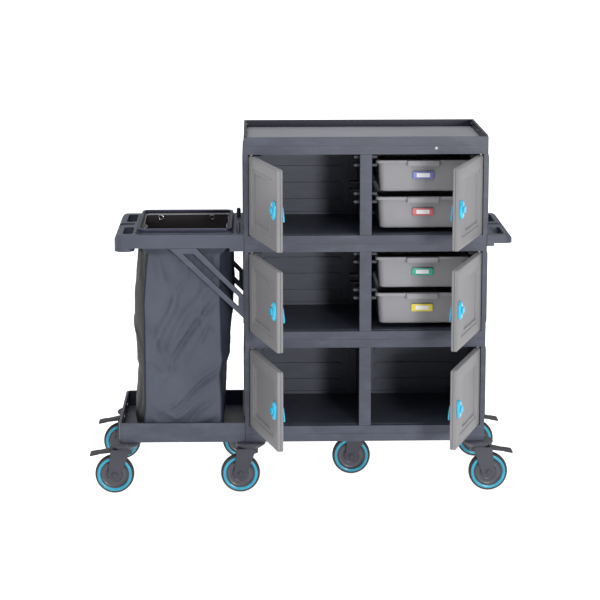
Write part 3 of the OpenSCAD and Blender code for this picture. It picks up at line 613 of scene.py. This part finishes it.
# One drawer: its wall comes in by the taper from rim to foot, its rounds are quarter turns
def makeDrawer(key):
    node, body = f"drawer_{key}", f"drawer_body_{key}"
    low, high = boxOf(node)
    front, back, top, bottom = low[1] + drawer["gripOut"], high[1], high[2], low[2]
    x0, x1, lip, wall = low[0], high[0], drawer["lip"], drawer["wall"]
    deep, roll, footRound = top - bottom, drawer["roll"], drawer["foot"]
    world = (0, 0, 0), (1, 0, 0), (0, 1, 0), (0, 0, 1)

    # The rim's outline drawn in all round
    def ring(inset, z, r):
        return (x0 + inset, x1 - inset, front + inset, back - inset, r, z)

    # How far the leaning wall is in from the rim at a height
    def wallInset(z, extra=0.0):
        return lip + extra + drawer["taper"] * (top - z) / deep

    foot, under = wallInset(bottom), top - drawer["lipHeight"]
    rings = [ring(foot + 14, bottom + 1.2, 12), ring(foot + 11, bottom + 1.2, 14),
             ring(foot + 9.5, bottom, 15)]
    for a in np.linspace(0, math.pi / 2, 6):  # rounded foot
        rings.append(ring(foot + footRound * (1 - math.sin(a)),
                          bottom + footRound * (1 - math.cos(a)), 18))
    rings += [ring(wallInset(z), z, 20) for z in (bottom + 40, top - 26, top - 4.5)]
    rings += [ring(lip - 1.5, top - 3.2, 21), ring(2.6, top - 3.0, 16), ring(2.0, top - 3.8, 16),
              ring(2.0, under + 0.4, 16), ring(1.6, under, 16), ring(0.4, under, 16),
              ring(0, under + 0.5, 16)]
    for a in np.linspace(0, math.pi / 2, 6):  # rolled rim
        rings.append(ring(roll * (1 - math.cos(a)), top - roll + roll * math.sin(a),
                          16 - 1.2 * math.sin(a)))
    rings += [ring(lip + wall - roll, top, 19)]
    for a in np.linspace(0, math.pi / 2, 5)[1:]:
        rings.append(ring(lip + wall - roll + roll * math.sin(a),
                          top - roll * (1 - math.cos(a)), 18))
    rings += [ring(wallInset(z, wall), z, 17) for z in (top - 30, bottom + 30, bottom + 11)]
    for a in np.linspace(0, math.pi / 2, 5)[1:]:
        rings.append(ring(wallInset(bottom + 10, wall) + 8 * (1 - math.cos(a)),
                          bottom + wall + 8 * (1 - math.sin(a)), 15))
    tub = ringPiece(f"drawer_{key}_tub", rings, 8, world, drawerPlastic, body)
    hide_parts(node)
    mid = (x0 + x1) / 2
    gw, out, drop = drawer["gripWidth"] / 2, drawer["gripOut"], drawer["gripDrop"]

    # The grip's outline drawn in at its front and sides
    def gripRing(inset, z, r):
        return (mid - gw + inset, mid + gw - inset, front - out + inset, front + lip + 3, r, z)

    rings = [gripRing(2.8, top - 3, 4), gripRing(2.8, top - drop + 0.6, 4),
             gripRing(2.2, top - drop, 4.5), gripRing(0.6, top - drop, 6),
             gripRing(0, top - drop + 0.6, 6.5)]
    for a in np.linspace(0, math.pi / 2, 6):
        rings.append(gripRing(2.6 * (1 - math.cos(a)), top - 2.6 + 2.6 * math.sin(a), 6.5))
    rings = [(*r[:5], r[5] + (0.15 if r[5] > top - 0.01 else 0)) for r in rings]
    grip = ringPiece(f"drawer_{key}_grip", rings, 6, world, drawerPlastic, body)
    lowLabel, highLabel = boxOf(f"label_{key}")
    zm, stand = (lowLabel[2] + highLabel[2]) / 2, frontStand(highLabel[1])
    pw, ph = drawer["padWidth"] / 2, drawer["padHeight"] / 2
    rings = [middleRing(mid, zm, pw, ph, i, 5, h)
             for i, h in ((0, -8), (0, -0.8), (0.25, -0.25), (0.9, 0))]
    pad = ringPiece(f"drawer_{key}_pad", rings, 5, stand, drawerPlastic, body)
    hw, hh = (highLabel[0] - lowLabel[0]) / 2, (highLabel[2] - lowLabel[2]) / 2
    t, b = highLabel[1] - lowLabel[1], label["border"]
    rings = [middleRing(mid, zm, hw, hh, i, max(label["corner"] - i * 0.4, 1), h)
             for i, h in ((0, 0), (0, t - 0.9), (0.3, t - 0.3), (1.0, t), (b, t),
                          (b + 0.5, t - 0.5), (b + 0.7, t - 1.2))]
    holder = ringPiece(f"label_holder_{key}", rings, 5, stand, labelPlastics[key], body)
    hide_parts(f"label_{key}")
    cw, ch = label["card"][0] / 2, label["card"][1] / 2
    rings = [middleRing(mid, zm, cw, ch, 0, 1.2, h) for h in (0, label["cardThick"])]
    stand = frontStand(lowLabel[1] + label["cardForward"])
    ringPiece(f"label_card_{key}", rings, 3, stand, card, body)


for key in "abcd":
    makeDrawer(key)
print("drawers made")


# Casters: tyre, coloured ring, dished hub and bolt heads; forks and pedals are softened
wheel = {"radius": 62.5, "half": 16, "ringOut": 55.5, "ringIn": 46.5, "boss": 15,
         "tread": 9, "crown": 0.9, "boltSunk": 2.4}


# One wheel from three turned profiles, and a bolt head on each side of its fork
def makeWheel(key):
    centre = np.array(joints[f"roll_{key}"]["pos_m"]) / mm
    body, h = f"roller_{key}", wheel["half"]
    r, ro, ri, boss = wheel["radius"], wheel["ringOut"], wheel["ringIn"], wheel["boss"]
    flank = [(ro - 2, h - 2.5), (ro + 0.3, h - 0.8), (ro + 2.2, h), (59.2, h - 1.1), (61.0, h - 4)]
    tread = [(r - wheel["crown"] * (c / wheel["tread"]) ** 2, c)
             for c in np.linspace(-wheel["tread"], wheel["tread"], 7)]
    tyre = [(a, -b) for a, b in flank] + tread + flank[::-1]
    rim = [(ri - 2, h - 4), (ri + 0.2, h - 1.9), (ri + 1.2, h - 1.2), (ro - 1.2, h - 0.9),
           (ro - 0.1, h - 1.5), (ro - 0.1, h - 4)]
    ring = [(a, -b) for a, b in rim] + rim[::-1]
    half = [(5.2, h + 1.2), (boss - 1, h + 1.2), (boss, h + 0.4), (boss + 1.2, h - 3),
            (boss + 4, h - 5.5), (24, h - 6.2), (26, h - 5.2), (28, h - 6.2), (38, h - 6.6),
            (43, h - 5), (ri - 1.4, h - 3.0), (ri - 0.3, h - 2.6), (ri - 0.3, h - 4.4)]
    hub = [(a, -b) for a, b in half] + half[::-1]
    for name, profile, material in (("tyre", tyre, tyreCompound), ("ring", ring, ringPlastic),
                                    ("hub", hub, hubPlastic)):
        pts, faces = latheRing(profile, 88)
        pts, flip = placed(pts, centre, (1, 0, 0), (0, 0, 1), (0, -1, 0))
        addPiece(f"{name}_{key}", pts, faces, material, body, angle=40, flip=flip)
    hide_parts(f"wheel_{key}")
    low, high = boxOf(f"fork_{key}")
    profile = [(9, 0), (9, 1.6), (8.2, 2.4), (6.4, 2.6), (6.0, 4.2), (5.2, 4.8), (0.02, 5.0)]
    for s, side, face in ((-1, "front", low[1]), (1, "rear", high[1])):
        pts, faces = lathe(profile, 32)
        origin = (centre[0], face - s * wheel["boltSunk"], centre[2])
        pts, flip = placed(pts, origin, (1, 0, 0), (0, 0, 1), (0, s, 0))
        bolt = addPiece(f"axle_bolt_{key}_{side}", pts, faces, casterPlastic, f"caster_{key}",
                        flip=flip)


for key in ("fl", "rl", "fm", "rm", "fr", "rr", "mid"):
    makeWheel(key)
    soften(f"fork_{key}", 1.4, casterPlastic, 2)
for key in ("fl", "rl", "fr", "rr"):
    soften(f"pedal_{key}", 1.4, pedalPlastic, 2)
print("casters made")


# Bag: a sewn cloth shell that hangs from the hoop, stands on the platform and creases
bag = {
    "columns": (64, 44, 64, 44), "rows": 128, "cloth": 1.4, "back": 199,
    "pipeRadius": 2.6, "pipeSides": 8, "neckGap": 0.6, "hem": 14, "fold": 2.4, "proud": 13,
    "mouthLength": 278, "mouthCorner": 14, "lipWidth": 15, "neckTop": 795, "crownIn": 7,
    # height, left seam, right seam, left bulge, right bulge
    "shape": [(181, -690, -464, 18, 4), (200, -700, -458, 34, 5), (224, -702, -457, 35, 6),
              (300, -698, -457, 37, 10), (383, -697, -461, 32, 19), (430, -697, -452, 35, 24),
              (465, -697, -455, 38, 28), (550, -697, -456, 42, 38), (609, -698, -458, 40, 42),
              (690, -692, -456, 38, 42), (770, -684, -454, 36, 40)],
    # x and z along each crease, how proud and how wide it is, and 1 where its crest is sharp
    "creases": [
        ([(-660, 782), (-640, 707), (-602, 621), (-653, 520), (-665, 466)], 5.5, 15, 0),
        ([(-628, 700), (-612, 640), (-640, 560)], -4.0, 13, 0),
        ([(-473, 690), (-542, 610), (-585, 552), (-628, 449)], 5.0, 13, 0),
        ([(-455, 640), (-528, 560), (-590, 470), (-640, 400)], -5.0, 14, 0),
        ([(-500, 621), (-564, 525), (-612, 449), (-640, 363)], 4.5, 11, 0),
        ([(-510, 674), (-521, 589), (-511, 535)], 4.0, 11, 0),
        ([(-457, 416), (-524, 367), (-593, 291), (-657, 265)], 7.0, 9, 1),
        ([(-462, 398), (-540, 340), (-600, 272)], -5.5, 13, 0),
        ([(-456, 508), (-474, 529), (-501, 535), (-517, 492)], 4.5, 7, 1),
        ([(-668, 284), (-620, 252), (-589, 245), (-514, 318), (-471, 367)], 5.0, 10, 1),
        ([(-560, 225), (-530, 262), (-480, 300)], -4.5, 12, 0),
        ([(-687, 423), (-645, 384)], 4.5, 9, 0),
        ([(-690, 560), (-640, 470), (-600, 380)], -4.0, 16, 0),
        ([(-684, 250), (-640, 215), (-560, 205)], 4.0, 10, 1),
        ([(-540, 735), (-585, 660), (-632, 560), (-650, 500)], 4.0, 8, 1),
        ([(-480, 560), (-535, 470), (-600, 395), (-670, 350)], 3.5, 8, 1),
        ([(-470, 240), (-520, 212), (-600, 196)], -3.5, 10, 0),
    ],
    # x or y where the mouth dents, how deep and how wide, and the side it is on
    "dents": ((-66, 13, 46, 3), (-150, 4, 22, 3), (-60, 7, 40, 1), (120, 3, 30, 1)),
    # how far the hem has turned outwards and how far below the top it is
    "hemRings": ((0.4, 1.0), (1.6, 0.2), (5.0, 0.0), (10.0, 0.0)),
    "binding": (833, 842.2),
}


# Smooth noise from a seeded grid of random values, eased between grid points, closed round
def softNoise(u, v, cellsU, cellsV, seed):
    grid = np.random.default_rng(seed).uniform(-1, 1, (cellsU + 1, cellsV + 1))
    grid[-1] = grid[0]
    x, y = np.clip(u, 0, 1) * cellsU, np.clip(v, 0, 1) * cellsV
    i, j = np.minimum(x.astype(int), cellsU - 1), np.minimum(y.astype(int), cellsV - 1)
    a, b = x - i, y - j
    a, b = a * a * (3 - 2 * a), b * b * (3 - 2 * b)
    low = grid[i, j] * (1 - a) + grid[i + 1, j] * a
    high = grid[i, j + 1] * (1 - a) + grid[i + 1, j + 1] * a
    return low * (1 - b) + high * b


# 0 below the first value, 1 above the second, smooth between
def ease(value, low, high):
    t = np.clip((value - low) / (high - low), 0, 1)
    return t * t * (3 - 2 * t)


# For each column the value of its side: front, right, rear, left
def bySide(side, values):
    return np.select([side == k for k in range(4)], values)


# An outline with its corners pulled onto arcs of a radius
def roundCorners(x, y, cx, hw, hd, r):
    ex, ey = np.maximum(np.abs(x - cx) - (hw - r), 0), np.maximum(np.abs(y) - (hd - r), 0)
    over = np.hypot(ex, ey)
    pull = np.where(over > r, r / np.maximum(over, 1e-6), 1.0)
    return (cx + np.sign(x - cx) * (np.minimum(np.abs(x - cx), hw - r) + ex * pull),
            np.sign(y) * (np.minimum(np.abs(y), hd - r) + ey * pull))


# Height of a crease over points: a bell, or a sharp crest, round a line, fading at its ends
def creaseLift(a, b, line, lift, width, sharp):
    line = smoothPath(line, 6)
    best, where = np.full(a.shape, 1e9), np.zeros(a.shape)
    for k in range(len(line) - 1):
        p, q = line[k], line[k + 1]
        along = (a - p[0]) * (q[0] - p[0]) + (b - p[1]) * (q[1] - p[1])
        t = np.clip(along / ((q - p) @ (q - p)), 0, 1)
        d = np.hypot(a - p[0] - t * (q[0] - p[0]), b - p[1] - t * (q[1] - p[1]))
        where = np.where(d < best, (k + t) / (len(line) - 1), where)
        best = np.minimum(best, d)
    bell = np.exp(-best / width * 1.2) if sharp else np.exp(-(best / width) ** 2)
    return lift * bell * np.sin(np.pi * np.clip(where * 0.92 + 0.04, 0, 1)) ** 0.6


# Outline at each height: four straight seams, cheeks bulging between them, then folds on top
def bagSurface():
    low, high = boxOf("bag")
    counts, gap = bag["columns"], bag["neckGap"]
    side = np.concatenate([np.full(n, k) for k, n in enumerate(counts)])
    share = np.concatenate([np.arange(n) / n for n in counts])
    shape = np.array(bag["shape"], float)
    hang = shape[-1, 0]
    # left, right and half depth of the mouth
    mouth = np.array([high[0] - bag["lipWidth"] - bag["mouthLength"],
                      high[0] - bag["lipWidth"], high[1] - bag["lipWidth"]])
    turn = np.linspace(0, math.pi / 2, 7)
    heights = np.concatenate([low[2] + 1.2 + 16 * (1 - np.cos(turn))[1:],
                              np.linspace(low[2] + 22, hang, bag["rows"] - 30),
                              np.linspace(hang + 3, 797, 8), np.linspace(802, high[2] - 2.2, 10)])
    z = heights[:, None]
    left, right, leftBulge, rightBulge = (np.interp(heights, shape[:, 0], shape[:, k])[:, None]
                                          for k in range(1, 5))
    neck = ease(z, hang - 4, bag["neckTop"])
    left = left * (1 - neck) + (mouth[0] + gap) * neck
    right = right * (1 - neck) + (mouth[1] - gap) * neck
    leftBulge, rightBulge = leftBulge * (1 - neck), rightBulge * (1 - neck)
    back = bag["back"] * (1 - neck) + (mouth[2] - gap) * neck
    foot = ease(z, low[2] - 6, low[2] + 22)
    back = back * (0.955 + 0.045 * foot)
    front = -back
    t = share[None, :]
    belly = 1 - np.abs(2 * t - 1) ** 2.4
    crown = bag["crownIn"] * (1 - (2 * t - 1) ** 2) * (1 - neck)
    x = bySide(side, [left + (right - left) * t, right + rightBulge * belly,
                      right + (left - right) * t, left - leftBulge * belly])
    y = bySide(side, [front + crown, front + (back - front) * t,
                      back - crown, back + (front - back) * t])
    fromSeam = np.minimum(t, 1 - t) * np.array(counts)[side][None, :]
    # the neck's corners are rounded off
    nx, ny = roundCorners(x, y, (left + right) / 2, (right - left) / 2, back, bag["mouthCorner"])
    x, y = x * (1 - neck) + nx * neck, y * (1 - neck) + ny * neck
    # ripples over the whole cloth
    rise = np.broadcast_to(z, x.shape)
    level = (rise - low[2]) / (hang - low[2])
    around = (side + share)[None, :] / 4 + 0 * x
    free = ease(rise, low[2] + 4, low[2] + 40) * (1 - ease(rise, hang - 30, 792))
    lift = 4.2 * softNoise(around, level, 10, 7, 3) + 2.2 * softNoise(around, level, 26, 17, 4)
    slope = around + level * 0.16
    slant = softNoise(slope - np.floor(slope), level, 64, 9, 5)
    lift += 1.5 * slant * ease(rise, 200, 330)
    pleats = np.sin(around * 2 * math.pi * 26 + 3 * softNoise(around, level, 8, 4, 6))
    lift += 2.2 * pleats * ease(rise, hang - 170, hang + 10)
    folds = np.zeros(x.shape)
    onFront = (side == 0)[None, :]
    for line, proud, width, sharp in bag["creases"]:
        crease = creaseLift(x, rise, line, proud * bag["fold"], width * 0.8, sharp)
        folds += np.where(onFront, crease, 0)
    pick = np.random.default_rng(21)
    for k in range(34):  # the other three sides get creases of their own
        which = 1 + k % 3
        s0, z0 = pick.uniform(0.1, 0.9), pick.uniform(210, 700)
        s1 = np.clip(s0 + pick.uniform(-0.5, 0.5), 0.06, 0.94)
        z1 = z0 + pick.uniform(60, 210) * pick.choice([-1, 1])
        width = 300.0 if which == 2 else 380.0
        bend = (s0 + s1) / 2 * width + pick.uniform(-20, 20)
        line = [(s0 * width, z0), (bend, (z0 + z1) / 2), (s1 * width, z1)]
        proud = pick.choice([-1, 1]) * pick.uniform(2.5, 5.5)
        crease = creaseLift(share[None, :] * width + 0 * x, rise, line, proud,
                            pick.uniform(8, 16), k % 4 == 0)
        folds += np.where((side == which)[None, :], crease, 0)
    pleat = np.exp(-((t - 0.46) / 0.07) ** 2) * (side % 2 == 1) * ease(rise, 190, 260)
    folds -= 7 * pleat * (1 - 0.4 * level)
    folds += 4 * np.exp(-((t - 0.24) / 0.06) ** 2) * (side == 3) * ease(rise, 200, 420)
    seam = 1 - 0.75 * np.exp(-(fromSeam / 2.2) ** 2)
    lift = (lift * np.where(side % 2 == 1, 0.5, 1.0) + folds) * seam * free
    most = bag["proud"]
    lift = np.where(lift > 0, most * (1 - np.exp(-lift / most)), lift)
    plan = np.stack([x, y], -1)
    ahead = np.roll(plan, -1, 1) - np.roll(plan, 1, 1)
    ahead /= np.linalg.norm(ahead, axis=-1)[..., None]
    x, y = x + ahead[..., 1] * lift, y - ahead[..., 0] * lift
    limit = bag["back"] + 7.5
    y = np.clip(y, -limit, limit)
    # the cloth is slack just inside the corners of the mouth
    slack = ease(rise, 800, 838)
    for at, deep, wide, sideAt in bag["dents"]:
        dent = deep * np.exp(-((y - at) / wide) ** 2) * slack * (side == sideAt)
        x = x + dent * (1 if sideAt == 3 else -1)
    rows = [np.stack([x, y, rise], -1)]
    # hem over the frame's lip
    top = rows[0][-1]
    flat = roundedHem(side, share, mouth, 0.0)
    for grow, below in (*bag["hemRings"], (bag["hem"], 0.1)):
        outline = roundedHem(side, share, mouth, grow)
        line = np.column_stack([outline, np.full(len(side), high[2] - below)])
        line[:, :2] += (top[:, :2] - flat) * math.exp(-grow / 1.6)
        rows.append(line[None])
    # floor of the bag
    base = rows[0][0]
    middle = base.mean(0)
    under = []
    for k in (0.45, 0.72, 0.9, 0.97):
        ring = middle + (base - middle) * k
        ring[:, 2] = low[2] + 0.6 + (0.6 if k > 0.9 else 0)
        under.append(ring[None])
    return np.concatenate(under + rows), side, len(under)


# The mouth's rounded outline grown outwards, sampled like the bag's columns
def roundedHem(side, t, mouth, grow):
    x0, x1, hd = mouth[0] - grow, mouth[1] + grow, mouth[2] + grow
    x = bySide(side, [x0 + (x1 - x0) * t, x1 + 0 * t, x1 + (x0 - x1) * t, x0 + 0 * t])
    y = bySide(side, [-hd + 0 * t, -hd + 2 * hd * t, hd + 0 * t, hd - 2 * hd * t])
    return np.column_stack(roundCorners(x, y, (x0 + x1) / 2, (x1 - x0) / 2, hd,
                                        bag["mouthCorner"] + grow))


eyelet = {"places": ((-657, 1), (-487, 1), (-657, -1), (-487, -1)), "height": 828,
          "radius": 7.5, "wire": 2.2, "thick": 1.1, "proud": 0.9}


# Length along a path of points, from 0 at its start
def lengthAlong(path):
    return np.concatenate([[0], np.cumsum(np.linalg.norm(np.diff(path, axis=0), axis=1))])


# UV coordinates of a grid from one value per column and one per row
def gridUv(across, along):
    return np.stack(np.broadcast_arrays(across, along), -1)


# The bag: its shell in four cloths, the outer gusset and the inside darkened as painted shade, piping along the
# seams, binding in the mouth and eyelets
def makeBag():
    points, side, under = bagSurface()
    rows, cols = points.shape[:2]
    faces = gridFaces(rows, cols, wrapCols=True).tolist()
    faces.append(list(range(cols))[::-1])
    across, along = lengthAlong(points[rows // 2]), lengthAlong(points[:, 20])
    uv = gridUv(across[None, :] * mm, along[:, None] * mm)
    shell = addPiece("bag_shell", points, faces, bagCloth, "frame", angle=60, uv=uv)
    for cloth in (innerCloth, shadedOuterCloth, liningShadeCloth, liningShadeCloth, liningShadeCloth):
        shell.data.materials.append(cloth)
    picked = np.zeros(len(faces), int)
    # front and rear take the bag cloth, the right side the inner gusset cloth, the left side the outer gusset
    # cloth darkened with painted shade
    picked[:(rows - 1) * cols] = np.tile(np.array([0, 1, 0, 2])[side], rows - 1)
    picked[(rows - 6) * cols:(rows - 1) * cols] = 0
    shell.data.polygons.foreach_set("material_index", picked)
    # the solidified inside takes the lining cloth (slots 3 to 5), whose dark tone paints the shade inside the bag
    wall = shell.modifiers.new("cloth", "SOLIDIFY")
    wall.thickness, wall.offset, wall.material_offset = bag["cloth"] * mm, -1, 3
    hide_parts("bag")
    # piping along the four upright seams and round the foot
    radius, sides = bag["pipeRadius"], bag["pipeSides"]
    centre = points[under:, :].mean((0, 1))
    hangRow = int(np.searchsorted(points[under:, 0, 2], 775)) + under
    ring = np.arange(sides) / sides * 2 * math.pi * radius * mm
    for k in range(4):
        path = points[under + 2:hangRow, sum(bag["columns"][:k])].copy()
        away = path[:, :2] - centre[:2]
        away /= np.linalg.norm(away, axis=1)[:, None]
        path[:, :2] += away * 1.1
        pts, faces = tube(path, radius, sides)
        uv = gridUv(ring[None, :], lengthAlong(path)[:, None] * mm)
        pipe = addPiece(f"bag_piping_{k}", pts, faces, pipingCloth, "frame", uv=uv)
    pts, faces = tube(points[under + 5], radius * 0.8, sides, closed=True)
    uv = gridUv(np.arange(sides)[None, :] * 0.0015, np.arange(cols)[:, None] * 0.006)
    pipe = addPiece("bag_foot_piping", pts, faces, pipingCloth, "frame", uv=uv)
    # pale binding sewn inside the mouth, and eyelets below it
    heights = points[:, 0, 2]
    lowest, highest = bag["binding"]
    inside = [r for r in range(under, rows - 5) if lowest < heights[r] < highest]
    strip = points[inside].copy()
    inward = points[inside].mean(1)[:, None] - strip
    inward[..., 2] = 0
    inward /= np.linalg.norm(inward, axis=-1)[..., None]
    wave = np.sin(np.arange(cols) * 0.41)[None, :] * 0.5
    strip = strip + inward * (bag["cloth"] + 1.0 + wave)[..., None]
    faces = gridFaces(len(inside), cols, wrapCols=True)
    uv = gridUv(across[None, :] * mm, strip[:, :1, 2] * mm)
    ribbon = addPiece("bag_binding", strip, faces, bindingCloth, "frame", angle=60, uv=uv)
    thick = ribbon.modifiers.new("tape", "SOLIDIFY")
    thick.thickness, thick.offset = 0.9 * mm, 0
    half = points[inside[0], :, 1].max() - bag["cloth"]
    a = np.arange(10) * 2 * math.pi / 10
    profile = np.column_stack([eyelet["radius"] + eyelet["wire"] * np.cos(a),
                               eyelet["proud"] + eyelet["thick"] * np.sin(a)])
    for k, (x, sign) in enumerate(eyelet["places"]):
        pts, faces = latheRing(profile, 36)
        origin = (x, sign * (half - 0.2), eyelet["height"])
        pts, flip = placed(pts, origin, (1, 0, 0), (0, 0, 1), (0, -sign, 0))
        piece = addPiece(f"bag_eyelet_{k}", pts, faces, steel, "frame", flip=flip)


makeBag()
nodes["bag_hoop"].material_slots[0].material = hoopPaint
nodes["frame_fasteners"].material_slots[0].material = pinSteel
print("bag made")


# Camera, floor and light
cameraAt = {"place": (-354.6, -6680.5, 1925.0), "yaw": -0.023, "pitch": -0.1981,
            "roll": -0.00142, "lens": 125.7}
studio = {"horizon": 0.2, "zenith": 2.1, "place": (1.5, -6.3, 1.25), "aim": (-0.2, 0, 0.6),
          "size": 0.9, "power": 200, "floorHalf": 30, "floorGlow": 0.92,
          "paper": ((0.46, 0.46, 0.465), (0.50, 0.50, 0.50))}


# The camera at its place, its axes from its turn, tilt and roll
def makeCamera():
    yaw, pitch, roll = cameraAt["yaw"], cameraAt["pitch"], cameraAt["roll"]
    across = np.array([math.cos(yaw), math.sin(yaw), 0])
    level = np.array([-math.sin(yaw), math.cos(yaw), 0])
    ahead = math.cos(pitch) * level + math.sin(pitch) * np.array([0, 0, 1])
    over = -math.sin(pitch) * level + math.cos(pitch) * np.array([0, 0, 1])
    x = math.cos(roll) * across + math.sin(roll) * over
    y = -math.sin(roll) * across + math.cos(roll) * over
    data = bpy.data.cameras.new("camera")
    data.sensor_width, data.lens = 36.0, cameraAt["lens"]
    data.clip_start, data.clip_end = 0.1, 100
    camera = bpy.data.objects.new("camera", data)
    bpy.context.scene.collection.objects.link(camera)
    turn = Matrix((x, y, -ahead)).transposed().to_4x4()
    camera.matrix_world = Matrix.Translation(Vector(cameraAt["place"]) * mm) @ turn
    bpy.context.scene.camera = camera


# A soft round light from one place towards another
def makeLight(name, place, aim, size, power):
    data = bpy.data.lights.new(name, "AREA")
    data.shape, data.size, data.energy = "DISK", size, power
    light = bpy.data.objects.new(name, data)
    bpy.context.scene.collection.objects.link(light)
    turn = (Vector(aim) - Vector(place)).to_track_quat("-Z", "Y").to_matrix().to_4x4()
    light.matrix_world = Matrix.Translation(place) @ turn


makeCamera()
floorFinish = Finish("studio floor")
paper = floorFinish.noise(floorFinish.place(), 3, 2)
floorPaper = floorFinish.done({
    "Base Color": floorFinish.blend(paper, *studio["paper"]), "Roughness": 0.8 + paper * 0.1,
    "Emission Color": (1.0, 1.0, 1.0), "Emission Strength": studio["floorGlow"]})
floorMesh = bpy.data.meshes.new("studio_floor")
far = studio["floorHalf"]
corners = [(-far, -far, 0), (far, -far, 0), (far, far, 0), (-far, far, 0)]
floorMesh.from_pydata(corners, [], [(0, 1, 2, 3)])
floorMesh.materials.append(floorPaper)
studioFloor = bpy.data.objects.new("studio_floor", floorMesh)
bpy.context.scene.collection.objects.link(studioFloor)

# Brightness of the surroundings: a little at eye level, more with the square of the height
world = bpy.data.worlds.new("studio")
world.use_nodes = True
tree = world.node_tree
direction = tree.nodes.new("ShaderNodeSeparateXYZ")
tree.links.new(tree.nodes.new("ShaderNodeTexCoord").outputs["Generated"], direction.inputs[0])
height = Wire(tree, direction.outputs[2])
strength = height * height * studio["zenith"] + studio["horizon"]
plug(tree, tree.nodes["Background"].inputs["Strength"], strength)
tree.nodes["Background"].inputs["Color"].default_value = (1.0, 1.0, 1.0, 1)
bpy.context.scene.world = world
makeLight("front soft box", studio["place"], studio["aim"], studio["size"], studio["power"])
bpy.context.scene.view_settings.view_transform = "Standard"
bpy.context.scene.view_settings.look = "None"
print("studio ready")
